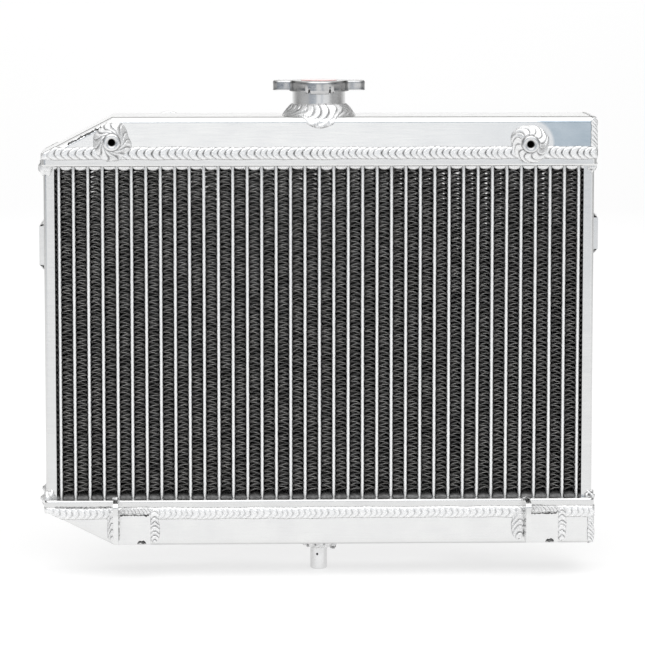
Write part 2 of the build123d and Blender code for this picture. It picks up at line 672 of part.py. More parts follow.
def make_filler(filled):
    save("filler_neck", filler_neck())
    save("overflow_nipple", overflow_nipple())
    nipple = rod_y(NIPPLE_COLLAR_R, NECK_Y, FACE_Y + NIPPLE_LENGTH, 0, NIPPLE_Z)
    neck_weld = cut_all(spin(NECK_BEAD), filled["top"] + [nipple])
    save("weld_neck", neck_weld)
    bead_r, bead_width = NIPPLE_BEAD
    nipple_bead = rod_y(bead_r, NECK_Y, NECK_Y + NECK_R + bead_width, 0, NIPPLE_Z)
    neck = rod_z(NECK_R, SEAT_TOP, NECK_RIM, y=NECK_Y)
    save("weld_nipple", cut_all(nipple_bead, [neck, nipple, neck_weld]))


def make_cap():
    save("cap_shell", cap_shell())
    save("cap_label", rod_z(LABEL_R, CAP_TOP, CAP_TOP + LABEL_THICK, y=NECK_Y))
    save("cap_rivet", cap_rivet())
    save("cap_diaphragm", cap_diaphragm())
    save("cap_top_gasket", cap_top_gasket())
    save("cap_bell", cap_bell())
    spring_low = VALVE_FLANGE_Z + VALVE_DISC
    save("pressure_spring", coil(SPRING_R, SPRING_WIRE / 2, spring_low, BELL_TOP - BELL_SHEET, SPRING_TURNS))
    save("pressure_valve_plate", pressure_valve_plate())
    save("pressure_gasket", pressure_gasket())
    save("vacuum_valve", vacuum_valve())
    save("vacuum_spring", coil(VACUUM_COIL_R, VACUUM_WIRE / 2, spring_low, STEM_HEAD_Z, VACUUM_TURNS))


def make_rear_fittings(filled):
    save("inlet_neck", hose_neck(INLET))
    save("outlet_neck", hose_neck(OUTLET))
    welds = []
    for place, parts in ((INLET, filled["top"]), (OUTLET, filled["bottom"])):
        bore = rod_y(HOSE_R, 0, FACE_Y + HOSE_REACH, *place)
        heights = (TANK_BOTTOM - HOSE_WELD_LAP, TANK_TOP + HOSE_WELD_LAP)
        cone = cone_weld(HOSE_WELD, place, 1) & block((-TANK_END, TANK_END), (0, 2 * TANK_DEPTH), heights)
        welds.append(cut_all(cone, parts + [bore]))
    save("weld_hose_necks", lumps(welds))
    save("drain_boss", drain_boss())
    save("drain_washer", drain_washer())
    save("drain_plug", drain_plug())
    ring_weld = cone_weld(DRAIN_WELD, DRAIN, 1)
    ring_weld -= rod_y(DRAIN_BOSS_R, FACE_Y - 1, FACE_Y + DRAIN_BOSS_LENGTH, *DRAIN)
    ring_weld &= block((-TANK_END, TANK_END), (0, 2 * TANK_DEPTH), (TANK_BOTTOM, TANK_TOP))
    save("weld_drain", lumps([cut_all(ring_weld, filled["bottom"])]))


def make_front_fittings(filled):
    welds = []
    for side, place in BOSSES.items():
        save("boss_" + side, cut_all(boss(place), filled["top"]))
        cone = cone_weld(BOSS_WELD, place, -1)
        cone -= rod_y(BOSS_R, -FACE_Y - BOSS_LENGTH, -FACE_Y + 1, *place)
        welds.append(cut_all(cone, filled["top"]))
    save("weld_bosses", lumps(welds))
    beads = []
    for side, sizes in BRACKETS.items():
        angle = cut_all(bracket(sizes), filled["bottom"])
        save("bracket_" + side, angle)
        beads += [cut_all(bead, filled["bottom"] + [angle]) for bead in bracket_welds(sizes)]
    save("weld_brackets", lumps(beads))


def make_lower_pin():
    save("lower_pin", lower_pin())
    save("pin_pad", pin_pad())
    cone = Cone(PIN_WELD_TOP_R, PIN_WELD_R, PAD_THICK, align=(Align.CENTER, Align.CENTER, Align.MIN))
    save("weld_pin", lumps([cone - rod_z(PIN_R, -1, PAD_THICK + 1) - pin_pad()]))


def make_sides(filled):
    beads = []
    for side, sizes in SIDE_PADS.items():
        save("side_pad_" + side, side_pad(sizes))
        beads.extend(side_pad_welds(sizes))
    save("weld_side_pads", group(beads))
    parts = filled["top"] + filled["bottom"] + [side_plate(-1), side_plate(1)]
    save("weld_corners", lumps(corner_welds(parts)))


def main():
    os.makedirs("parts", exist_ok=True)
    make_core()
    filled = make_tanks()
    make_filler(filled)
    make_cap()
    make_rear_fittings(filled)
    make_front_fittings(filled)
    make_lower_pin()
    make_sides(filled)


main()
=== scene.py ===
import bisect
import json
import math
import random

import bpy
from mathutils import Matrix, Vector


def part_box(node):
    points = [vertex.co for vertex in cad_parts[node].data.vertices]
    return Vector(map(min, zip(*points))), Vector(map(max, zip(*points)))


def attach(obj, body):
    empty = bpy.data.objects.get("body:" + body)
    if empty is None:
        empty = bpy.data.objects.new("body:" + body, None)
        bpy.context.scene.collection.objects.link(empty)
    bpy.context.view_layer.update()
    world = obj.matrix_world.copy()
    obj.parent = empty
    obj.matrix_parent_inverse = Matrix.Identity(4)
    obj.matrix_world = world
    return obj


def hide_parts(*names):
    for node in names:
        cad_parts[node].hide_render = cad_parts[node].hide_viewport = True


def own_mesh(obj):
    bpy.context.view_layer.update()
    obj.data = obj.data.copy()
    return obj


# The looks of a welded aluminium car radiator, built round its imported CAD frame.
# Metres, +Z up, +X to the right, the front faces -Y. The sizes of details are in millimetres,
# and MM turns them into metres.

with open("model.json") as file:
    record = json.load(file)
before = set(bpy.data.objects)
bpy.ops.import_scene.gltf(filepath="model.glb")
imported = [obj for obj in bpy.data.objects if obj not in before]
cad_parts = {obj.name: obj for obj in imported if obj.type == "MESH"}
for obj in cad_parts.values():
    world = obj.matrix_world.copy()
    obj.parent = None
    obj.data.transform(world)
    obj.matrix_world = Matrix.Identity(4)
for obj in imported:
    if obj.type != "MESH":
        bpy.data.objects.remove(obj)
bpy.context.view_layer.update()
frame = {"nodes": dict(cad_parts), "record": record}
MM = 0.001


# ---------------------------------------------------------------- places read from the frame
def span(node, axis):
    """The lowest and highest coordinate of a CAD node along one axis."""
    low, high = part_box(node)
    return low[axis], high[axis]


def centre_of(node):
    """The middle of a CAD node's box, in millimetres."""
    low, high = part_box(node)
    return [(a + b) / 2 / MM for a, b in zip(low, high)]


TANK_FRONT = span("top_tank", 1)[0]
TANK_REAR = -TANK_FRONT
TANK_TOP = span("top_tank", 2)[1]
TANK_BOTTOM = span("bottom_tank", 2)[0]
UPPER_SEAM = span("top_tank", 2)[0]
LOWER_SEAM = span("bottom_tank", 2)[1]
UPPER_FACE = span("top_header_plate", 2)[0]
LOWER_FACE = span("bottom_header_plate", 2)[1]
HEADER_HALF = span("bottom_header_plate", 0)[1]
TANK_END = span("top_tank_end_plate", 0)[1]
CORE_FRONT = span("tubes_front_row", 1)[0]
FIN_LOW, FIN_HIGH = span("fin_strips", 2)
FIN_HALF_DEPTH = span("fin_strips", 1)[1]
CAP_LOW, CAP_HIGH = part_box("cap_shell")
CAP_CENTRE = (CAP_LOW + CAP_HIGH) / 2
FLOOR_Z = span("lower_pin", 2)[0] - 0.5 * MM
BRACKET_FOOT_TOP = TANK_BOTTOM + 22.5 * MM

TUBE_COUNT = 37
TUBE_PITCH = 10 * MM
TUBE_HALF = 1 * MM
FIN_WAVES = 64
BEAD_STEP = 0.4 * MM
COLUMNS = [(i - (TUBE_COUNT - 1) / 2) * TUBE_PITCH for i in range(TUBE_COUNT)]
GAPS = [(i - TUBE_COUNT / 2) * TUBE_PITCH for i in range(TUBE_COUNT + 1)]

SUN_STRENGTH = 1.0
FLOOR_GLOW = 0.62
FLOOR_MATT = 0.45


# ---------------------------------------------------------------- materials
class Nodes:
    """A short way to add and join shader nodes."""

    def __init__(self, tree):
        self.tree = tree
        tree.nodes.clear()

    def add(self, kind, settings=None, **inputs):
        node = self.tree.nodes.new("ShaderNode" + kind)
        for key, value in (settings or {}).items():
            setattr(node, key, value)
        for key, value in inputs.items():
            self.set(node, key.replace("_", " "), value)
        return node

    def set(self, node, name, value):
        socket = node.inputs[int(name)] if name.isdigit() else node.inputs[name]
        if isinstance(value, bpy.types.NodeSocket):
            self.tree.links.new(value, socket)
        else:
            socket.default_value = value

    def math(self, operation, a, b=0.0, clamp=False):
        node = self.add("Math", {"operation": operation, "use_clamp": clamp})
        self.set(node, "0", a)
        self.set(node, "1", b)
        return node.outputs[0]

    def noise(self, vector, scale, detail=3.0):
        return self.add("TexNoise", Vector=vector, Scale=scale, Detail=detail).outputs["Fac"]

    def stretch(self, vector, scale):
        return self.add("Mapping", Vector=vector, Scale=scale).outputs[0]

    def range(self, value, low, high, to_low, to_high):
        node = self.add("MapRange", Value=value)
        for name, number in zip(("1", "2", "3", "4"), (low, high, to_low, to_high)):
            self.set(node, name, number)
        return node.outputs[0]

    def mix(self, factor, a, b, blend="MIX"):
        node = self.add("Mix", {"data_type": "RGBA", "blend_type": blend})
        self.set(node, "0", factor)
        self.set(node, "6", a)
        self.set(node, "7", b)
        return node.outputs[2]

    def ramp(self, value, stops):
        node = self.add("ValToRGB", Fac=value)
        points = node.color_ramp.elements
        while len(points) < len(stops):
            points.new(0.5)
        for point, (place, shade) in zip(points, stops):
            point.position = place
            point.color = (*shade, 1) if isinstance(shade, tuple) else (shade, shade, shade, 1)
        return node.outputs[0]

    def bump(self, height, strength, distance, normal=None):
        node = self.add("Bump", Height=height, Strength=strength, Distance=distance)
        if normal is not None:
            self.set(node, "Normal", normal)
        return node.outputs[0]


def grey(value, tint=(1.0, 1.0, 1.0)):
    """A grey, or a faintly tinted one."""
    return tuple(value * t for t in tint) + (1.0,)


def metal(name, light, dark, rough, grain=(1.0, 1.0, 1.0), grain_scale=900.0, grain_depth=0.02,
          wave_depth=0.0, mottle_scale=60.0, painted_dark=None, metallic=1.0, painted_light=None):
    """Bare metal: mottled colour, streaked grain, and slow waves in the sheet.
    With a colour for dark marks, the mesh's own attribute of them darkens it towards that colour,
    mostly as painted shade in crevices and hollows. A last function may add painted shade and a
    painted reflection to the colour, given the nodes, the place and the colour so far."""
    material = bpy.data.materials.new(name)
    material.use_nodes = True
    n = Nodes(material.node_tree)
    place = n.add("TexCoord").outputs["Object"]
    mottle = n.noise(place, mottle_scale, 4.0)
    streaks = n.noise(n.stretch(place, grain), grain_scale, 2.0)
    colour = n.mix(n.range(mottle, 0.35, 0.7, 0.0, 1.0), light, dark)
    if painted_light is not None:
        colour = painted_light(n, place, colour)
    roughness = n.range(streaks, 0.3, 0.7, rough[0], rough[1])
    if painted_dark is not None:
        # Painted shade: the mesh's dark marks darken the colour and make it rougher.
        depth = n.add("Attribute", {"attribute_name": "painted_dark"}).outputs["Fac"]
        colour = n.mix(depth, colour, painted_dark)
        roughness = n.math("ADD", roughness, n.math("MULTIPLY", depth, 0.3), clamp=True)
    normal = n.bump(streaks, 0.25, grain_depth * MM)
    if wave_depth:
        slow = n.noise(place, 11.0, 1.0)
        normal = n.bump(slow, 1.0, wave_depth * MM, normal)
    shader = n.add("BsdfPrincipled", Metallic=metallic)
    n.set(shader, "Base Color", colour)
    n.set(shader, "Roughness", roughness)
    n.set(shader, "Normal", normal)
    output = n.add("OutputMaterial")
    n.set(output, "Surface", shader.outputs[0])
    return material


def painted_reflection_patch(n, place, parts):
    """How much painted reflection covers the sheet: a blue-grey patch standing for a dark reflection, past
    the right-hand boss, on the front face only.
    """
    low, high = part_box("boss_right")
    boss = ((low.x + high.x) / 2, TANK_FRONT, (low.z + high.z) / 2)
    away = n.add("VectorMath", {"operation": "DISTANCE"})
    n.set(away, "0", place)
    n.set(away, "1", boss)
    patch = n.range(away.outputs["Value"], 15.5 * MM, 17.5 * MM, 0.0, 1.0)
    right = n.range(parts.outputs[0], boss[0], boss[0] + MM, 0.0, 1.0)
    front = n.range(parts.outputs[1], TANK_FRONT + 5 * MM, TANK_FRONT + 9 * MM, 1.0, 0.0)
    above = n.range(parts.outputs[2], UPPER_SEAM + 3 * MM, UPPER_SEAM + 5 * MM, 0.0, 1.0)
    below = n.range(parts.outputs[2], TANK_TOP - 3 * MM, TANK_TOP - 2 * MM, 1.0, 0.0)
    for limit in (right, front, above, below):
        patch = n.math("MULTIPLY", patch, limit)
    return patch


def sheet_painted_light(n, place, colour):
    """Painted shade by height, darker on the bottom bend and along the core and its headers and lighter
    at the top, and a blue-grey painted reflection on the front past the right-hand boss.
    """
    parts = n.add("SeparateXYZ", Vector=place)
    level = n.range(parts.outputs[2], 0.0, TANK_TOP, 0.0, 1.0)
    foot, base = TANK_BOTTOM / TANK_TOP, LOWER_SEAM / TANK_TOP
    core, rim = UPPER_FACE / TANK_TOP, UPPER_SEAM / TANK_TOP
    # Painted shade: a colour multiplier by height.
    height_shade = n.ramp(level, [
        (foot, 0.5),
        (foot + 0.004, 0.9),
        (base, 0.9),
        (base + 0.01, 0.82),
        (core, 0.86),
        (rim, 0.96),
        (rim + 0.01, 1.02),
    ])
    shaded = n.mix(1.0, colour, height_shade, "MULTIPLY")
    # The blue-grey of the painted reflection.
    reflection_tint = n.mix(n.noise(place, 90.0), (0.46, 0.54, 0.6, 1.0), (0.66, 0.72, 0.77, 1.0))
    return n.mix(painted_reflection_patch(n, place, parts), shaded, reflection_tint)


def dull(name, light, dark, rough, mottle_scale=300.0, bump_scale=1500.0, bump_depth=0.03):
    """Rubber, print and other things that aren't metal."""
    return metal(name, light, dark, rough, grain_scale=bump_scale, grain_depth=bump_depth,
                 mottle_scale=mottle_scale, metallic=0.0)


def make_materials():
    """Every slot of the record, by name."""
    warm = (1, 0.97, 0.93)
    return {
        "sheet_aluminium": metal("sheet_aluminium", grey(0.90, (1, 1.002, 0.995)), grey(0.86), (0.16, 0.24),
                                 grain=(0.05, 1, 1), grain_depth=0.004, wave_depth=0.35,
                                 painted_light=sheet_painted_light),
        "tube_aluminium": metal("tube_aluminium", grey(0.95), grey(0.9), (0.25, 0.4), mottle_scale=400,
                                metallic=0.5),
        # Fin, weld and turned metal darken towards near black where their meshes carry painted shade.
        "fin_aluminium": metal("fin_aluminium", grey(0.66, warm), grey(0.4), (0.35, 0.55),
                               grain=(0.2, 1, 1), mottle_scale=250, grain_depth=0.05,
                               painted_dark=grey(0.015)),
        "weld_aluminium": metal("weld_aluminium", grey(0.9), grey(0.8), (0.2, 0.34), grain_depth=0.03,
                                mottle_scale=500, painted_dark=grey(0.03), metallic=0.55),
        "turned_aluminium": metal("turned_aluminium", grey(0.82), grey(0.72), (0.16, 0.28), grain=(1, 1, 8),
                                  painted_dark=grey(0.015)),
        "cap_steel": metal("cap_steel", grey(0.62), grey(0.5), (0.1, 0.22), mottle_scale=250),
        "spring_steel": metal("spring_steel", grey(0.5), grey(0.4), (0.25, 0.35)),
        "plated_steel": metal("plated_steel", grey(0.72, (1, 0.98, 0.9)), grey(0.6), (0.2, 0.32)),
        "brass": metal("brass", (0.8, 0.58, 0.26, 1), (0.66, 0.46, 0.2, 1), (0.2, 0.35)),
        "seal_rubber": dull("seal_rubber", grey(0.03), grey(0.015), (0.6, 0.8)),
        "cap_label": dull("cap_label", (0.85, 0.32, 0.3, 1), (0.8, 0.22, 0.2, 1), (0.04, 0.08)),
    }


# ---------------------------------------------------------------- mesh helpers
def piece(name, points, faces, slot, body="root", stands_for=(), painted_dark=None, smooth=True):
    """A mesh piece with its material, riding on a CAD body."""
    mesh = bpy.data.meshes.new(name)
    mesh.from_pydata([tuple(p) for p in points], [], faces)
    mesh.validate()
    mesh.polygons.foreach_set("use_smooth", [smooth] * len(mesh.polygons))
    if painted_dark is not None:
        attribute = mesh.attributes.new("painted_dark", "FLOAT", "POINT")
        attribute.data.foreach_set("value", painted_dark)
    mesh.materials.append(MATERIALS[slot])
    obj = bpy.data.objects.new(name, mesh)
    bpy.context.scene.collection.objects.link(obj)
    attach(obj, body)
    if stands_for:
        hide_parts(*stands_for)
    return obj


class Builder:
    """Collects points, faces and how dark each point is painted, mostly painted shade, of one piece."""

    def __init__(self):
        self.points, self.faces, self.painted_dark = [], [], []

    def loops(self, rows, closed_ends=False):
        """Joins rows of points, each a loop round a section, into a closed skin.
        An entry is a point, or a point and how dark it is painted. With closed_ends the last row
        meets the first, and otherwise each end gets a flat cap."""
        start, count = len(self.points), len(rows[0])
        for row in rows:
            for entry in row:
                point, depth = entry if isinstance(entry, tuple) else (entry, 0.0)
                self.points.append(point)
                self.painted_dark.append(depth)
        total = len(rows)
        for i in range(total if closed_ends else total - 1):
            a, b = start + i * count, start + (i + 1) % total * count
            for j in range(count):
                k = (j + 1) % count
                self.faces.append((a + j, a + k, b + k, b + j))
        if not closed_ends:
            self.faces.append(tuple(start + j for j in reversed(range(count))))
            last = start + (total - 1) * count
            self.faces.append(tuple(last + j for j in range(count)))

    def finish(self, name, slot, **options):
        return piece(name, self.points, self.faces, slot, painted_dark=self.painted_dark, **options)


# ---------------------------------------------------------------- core
def make_tubes(name, row, seed):
    """A row of flat tubes whose outer noses swell a little at each brazed fin crest.
    row is -1 for the front row and 1 for the rear one."""
    rng = random.Random(seed)
    low, high = span(name, 2)
    front, back = span(name, 1)
    outer = front if row < 0 else back
    nose_steps = 4
    rise = (FIN_HIGH - FIN_LOW) / (2 * FIN_WAVES)
    heights = [low] + [FIN_LOW + i * rise for i in range(2 * FIN_WAVES + 1)] + [high]
    out = Builder()
    for x in COLUMNS:
        rows = []
        for i, z in enumerate(heights):
            swell = [0.0, 0.0]
            if 0 < i < len(heights) - 1:
                swell[i % 2] = rng.uniform(0.04, 0.26) * MM
            section = []
            for end, turn in ((front, -1), (back, 1)):
                for step in range(nose_steps + 1):
                    angle = math.pi * step / nose_steps
                    across = math.cos(angle) * turn
                    wide = TUBE_HALF
                    if end == outer:
                        wide += swell[0 if across > 0 else 1] * abs(across)
                    y = end - turn * TUBE_HALF + turn * TUBE_HALF * math.sin(angle)
                    section.append(Vector((x + wide * across, y, z)))
            rows.append(section)
        out.loops(rows)
    return out.finish(name + "_skin", "tube_aluminium", stands_for=(name,))


def fin_line(rng, extra_painted_darkening):
    """The middle line of one corrugated strip: places across its gap and up, with how dark each is painted.
    The crests get painted shade, the legs a random tone, and the strips beside the side plates more painted
    shade.
    """
    legs = 2 * FIN_WAVES
    rise = (FIN_HIGH - FIN_LOW) / legs
    half = TUBE_PITCH / 2 - TUBE_HALF
    crest, bend = 0.9 * MM, 0.35 * MM
    arch = rng.uniform(0.5, 0.9) * MM
    line = []
    for i in range(legs + 1):
        z = FIN_LOW + i * rise + rng.gauss(0, 0.05) * MM
        side = 1 if i % 2 else -1
        # Painted shade darkens each crest, where the strip meets a tube.
        if i:
            line.append((side * (half - crest), z - bend + rng.gauss(0, 0.08) * MM, 0.6))
        line.append((side * (half - 0.04 * MM), z, 1.0))
        if i < legs:
            # Random tone along each leg, plus painted shade on the strips beside the side plates.
            painted_darkening = rng.choice((0.0, 0.15, 0.5)) + extra_painted_darkening
            line.append((side * (half - crest), z + bend + rng.gauss(0, 0.08) * MM, 0.6))
            bow = arch * rng.uniform(0.6, 1.2)
            for share in (0.3, 0.5, 0.7):
                along = side * (half - crest) * (1 - 2 * share)
                lift = bow * (1 - (2 * share - 1) ** 2)
                line.append((along, z + rise * share + lift + rng.gauss(0, 0.05) * MM, painted_darkening))
    return line


def make_fins():
    """Corrugated strips of thin foil. Each leg is arched and a little uneven, and each crest is darkened
    with painted shade.
    """
    rng = random.Random(5)
    foil = 0.09 * MM
    deep = FIN_HALF_DEPTH
    out = Builder()
    for column, x in enumerate(GAPS):
        # The strips beside the side plates get extra painted shade.
        line = fin_line(rng, 0.4 if column in (0, TUBE_COUNT) else 0.0)
        lean = rng.gauss(0, 0.12) * MM
        rows = []
        for k, (u, z, dark) in enumerate(line):
            before, after = line[max(k - 1, 0)], line[min(k + 1, len(line) - 1)]
            along = Vector((after[0] - before[0], after[1] - before[1])).normalized()
            normal = Vector((-along.y, along.x)) * foil
            tip = rng.gauss(0, 0.06) * MM
            loop = []
            for y, sign in ((-deep, 1), (-deep, -1), (deep, -1), (deep, 1)):
                drop = (lean + tip) * (1 if y < 0 else -1)
                loop.append((Vector((x + u + sign * normal.x, y, z + drop + sign * normal.y)), dark))
            rows.append(loop)
        out.loops(rows)
    return out.finish("fin_strips_skin", "fin_aluminium", stands_for=("fin_strips",), smooth=False)


def make_domes(name, face, up, painted_darkening):
    """The header plate swells towards the core between the tubes, most of all in its middle.
    up is 1 for the plate under the core and -1 for the one above it, and the last argument is how
    much painted reflection of the dark core above darkens it."""
    rng = random.Random(9)
    half = TUBE_PITCH / 2 - TUBE_HALF * 0.92
    reach = -CORE_FRONT + 1.5 * MM
    edge, middle = (1.0, 3.3) if up > 0 else (3.0, 3.3)
    long_steps, cross_steps = 16, 8
    out = Builder()
    for x in GAPS:
        rows = []
        swell = rng.uniform(0.8, 1.1)
        for i in range(long_steps + 1):
            turn = math.pi * i / long_steps
            y = -reach * math.cos(turn)
            ends = min(1.0, 3 * math.sin(turn)) ** 0.5
            height = swell * (edge + (middle - edge) * math.sin(turn)) * ends * MM
            arc = []
            for j in range(cross_steps + 1):
                angle = math.pi * j / cross_steps
                z = face + up * height * math.sin(angle) ** 0.7
                arc.append((Vector((x - half * math.cos(angle), y, z)), painted_darkening * rng.uniform(0.85, 1.0)))
            arc.append((Vector((x, y, face - up * 0.5 * MM)), painted_darkening))
            rows.append(arc if up < 0 else arc[::-1])
        out.loops(rows)
    return out.finish(name, "weld_aluminium")


# ---------------------------------------------------------------- welds
def ripples(rng, length, pitch):
    """Where each ripple of a bead starts, how high it stands and how dark its crater is."""
    starts, place = [], -pitch
    while place < length + 2 * pitch:
        starts.append(place)
        place += pitch * rng.uniform(0.8, 1.2)
    return starts, [(rng.uniform(0.75, 1.15), rng.uniform(0.1, 1.0)) for _ in starts]


def bead(out, shape, length, samples, pitch, seed, closed=False, lean=1, skew=0.0, depth=0.5, steps=14,
         point=0.9, dark=0.8, plain=lambda s: 1.0):
    """Adds a weld bead of overlapping ripples. shape gives, for a distance along it, its two edges,
    the way it stands proud and a point inside the metal. lean is the way that the arrows of the
    ripples point, point is how sharp they are, skew slants them, dark is how strongly painted
    shade darkens their craters, and plain gives how much of them is left at a place along the bead."""
    rng = random.Random(seed)
    starts, kinds = ripples(rng, length, pitch)
    rows = []
    for i in range(samples if closed else samples + 1):
        s = length * i / samples
        near, far, push, inner = shape(s)
        width = (far - near).length
        fade = 1.0 if closed else min(1.0, math.sqrt(min(s, length - s) / (0.5 * width) + 0.02))
        row = []
        for j in range(steps + 1):
            t = -1 + 2 * j / steps
            bent = s + lean * pitch * point * (abs(t) ** 1.7 - 0.5) + skew * pitch * t
            k = max(0, min(bisect.bisect(starts, bent) - 1, len(starts) - 2))
            phase = min(max((bent - starts[k]) / (starts[k + 1] - starts[k]), 0.0), 1.0)
            if lean > 0:
                phase = 1 - phase
            height, crater = kinds[k]
            crown = (1 - abs(t) ** 2.6) ** 0.6
            shown = plain(s)
            lift = crown * (1 - shown * depth * (1 - (1 - phase) ** 0.7 * height))
            # Painted shade: pit darkens each ripple's crater, and rim darkens the bead's edges where it
            # meets the sheet.
            line = min(1.0, max(0.0, (phase - 0.72) / 0.17)) * shown
            pit = dark * line * (0.5 + 0.5 * max(0.0, 1 - 1.3 * abs(t)) ** 0.7 * (0.4 + 0.6 * crater))
            rim = 0.7 * max(0.0, (abs(t) - 0.86) / 0.14) * rng.random() ** 2
            row.append((near.lerp(far, j / steps) + push * lift * fade, min(1.0, pit + rim)))
        row.append((inner, 0.0))
        rows.append(row)
    out.loops(rows, closed_ends=closed)


def straight_bead(out, start, end, across, push, pitch, seed, **options):
    """A bead from start to end, with across as its half width. Its ends are narrower."""
    start, end, across, push = (Vector(v) * MM for v in (start, end, across, push))
    length = (end - start).length
    wobble_step = 3 * MM
    rng = random.Random(seed + 500)
    wobble = [rng.uniform(0.85, 1.15) for _ in range(int(length / wobble_step) + 3)]

    def shape(s):
        place = s / wobble_step
        k = int(place)
        wide = wobble[k] + (wobble[k + 1] - wobble[k]) * (place - k)
        wide *= min(1.0, math.sqrt(min(s, length - s) / across.length + 0.03))
        middle = start.lerp(end, s / length)
        return middle - across * wide, middle + across * wide, push, middle - push * 0.6

    bead(out, shape, length, max(8, int(length / BEAD_STEP)), pitch * MM, seed, **options)


def ring_bead(out, edges, radius, pitch, seed, wobble=0.06, **options):
    """A bead round a fitting. edges gives, for an angle and a share of extra width,
    its outer and inner points, the way it stands proud and a point inside."""
    length = 2 * math.pi * radius * MM
    rng = random.Random(seed + 900)
    waves = [(k, rng.uniform(0, 2 * math.pi), rng.uniform(0.3, 1.0) / k) for k in range(2, 9)]

    def shape(s):
        angle = 2 * math.pi * s / length
        extra = wobble * sum(size * math.sin(k * angle + turn) for k, turn, size in waves)
        return edges(angle, extra)

    bead(out, shape, length, int(length / BEAD_STEP), pitch * MM, seed, closed=True, **options)


def wall_ring(x, y, z, towards, inner_r, outer_r, height, bulge, highest=TANK_TOP - 3.5 * MM):
    """The edges of a ring bead on a wall that faces along Y: its foot on the wall, its top on the fitting.
    Nothing of its foot goes above the highest level."""
    def edges(angle, extra):
        way = Vector((math.cos(angle), 0.0, math.sin(angle)))
        centre = Vector((x, y, z)) * MM
        out = Vector((0.0, towards, 0.0))
        foot = centre + way * outer_r * (1 + extra) * MM
        foot.z = min(foot.z, highest)
        top = centre + way * inner_r * MM + out * height * MM
        push = (way * height + out * (outer_r - inner_r)).normalized() * bulge * (1 + 2 * extra) * MM
        return foot, top, push, centre + way * inner_r * MM - out * 0.3 * MM
    return edges


def seam_path(end_x, half_y, corner):
    """Distance -> place and outward way round a rectangle with rounded corners, seen from above."""
    sides = [2 * (half_y - corner), 2 * (end_x - corner)] * 2
    turn = math.pi / 2 * corner
    total = sum(sides) + 4 * turn
    ways = [Vector((0, 1)), Vector((1, 0)), Vector((0, -1)), Vector((-1, 0))]
    outs = [Vector((-1, 0)), Vector((0, 1)), Vector((1, 0)), Vector((0, -1))]
    begins = [Vector((-end_x, corner - half_y)), Vector((corner - end_x, half_y)),
              Vector((end_x, half_y - corner)), Vector((end_x - corner, -half_y))]

    def at(s):
        s %= total
        for k in range(4):
            if s <= sides[k]:
                return begins[k] + ways[k] * s, outs[k]
            s -= sides[k]
            if s <= turn:
                centre = begins[k] + ways[k] * sides[k] - outs[k] * corner
                swing = s / corner
                out = outs[k] * math.cos(swing) + ways[k] * math.sin(swing)
                return centre + out * corner, out
            s -= turn
        return begins[0], outs[0]

    return total, at


def make_seam(node, keep, pitch, lean, seed, dark, slant):
    """The rippled bead round a tank where it meets its header plate. slant is the height at which
    the tank's left end cuts it off, for a place along X; keep is 1 to keep what is above it, -1 below.
    dark is how strongly painted shade darkens its ripples."""
    low, high = span(node, 2)
    corner, step, fade_out = 3 * MM, 0.45 * MM, 6 * MM
    out = Builder()
    total, at = seam_path(HEADER_HALF + 0.3 * MM, TANK_REAR, corner)
    rng = random.Random(seed)
    wobble = [rng.uniform(-0.45, 0.45) * MM for _ in range(90)]

    def drift(s):
        place = s / total * len(wobble)
        k = int(place)
        first, second = wobble[k % len(wobble)], wobble[(k + 1) % len(wobble)]
        return first + (second - first) * (place - k)

    def shape(s):
        flat, way = at(s)
        limit = slant(flat.x)
        top, bottom = high + drift(s), low - drift(s + 0.1)
        if keep > 0:
            top, bottom = max(top, limit), max(bottom, limit)
        else:
            top, bottom = min(top, limit), min(bottom, limit)
        top = max(top, bottom + 0.5 * MM)
        share = min(1.0, (top - bottom) / (high - low))
        push = Vector((way.x, way.y, 0.0)) * (0.5 if abs(way.x) > 0.7 else 1.7) * MM * share
        foot = Vector((flat.x, flat.y, 0.0)) + Vector((way.x, way.y, 0.0)) * 0.05 * MM
        inner = Vector((flat.x - way.x * MM, flat.y - way.y * MM, (top + bottom) / 2))
        return foot + Vector((0, 0, top)), foot + Vector((0, 0, bottom)), push, inner

    bead(out, shape, total, int(total / step), pitch * MM, seed, closed=True, lean=lean, dark=dark,
         plain=lambda s: min(1.0, max(0.0, (at(s)[0].x + HEADER_HALF) / fade_out - 0.2)))
    return out.finish(node + "_bead", "weld_aluminium", stands_for=(node,))


def top_slant(x):
    """The height of the top tank's slanted end beside its seam, for a place along X."""
    return UPPER_SEAM + 0.52 * (x + HEADER_HALF)


def bottom_slant(x):
    """The height of the bottom tank's slanted end beside its seam, for a place along X."""
    return LOWER_SEAM + 1.5 * MM - 0.5 * (x + HEADER_HALF)


def make_boss_welds():
    """The petalled beads round the two front bosses."""
    out = Builder()
    for k, side in enumerate(("left", "right")):
        x, _, z = centre_of("boss_" + side)
        edges = wall_ring(x, TANK_FRONT / MM, z, towards=-1, inner_r=5.9, outer_r=13.4, height=4.6,
                          bulge=1.7)
        ring_bead(out, edges, radius=11.0, pitch=5.6, seed=31 + k, wobble=0.13, lean=1 - 2 * k, skew=0.7,
                  depth=0.9, steps=16, point=0.7, dark=0.8)
    out.finish("boss_weld_beads", "weld_aluminium", stands_for=("weld_bosses",))


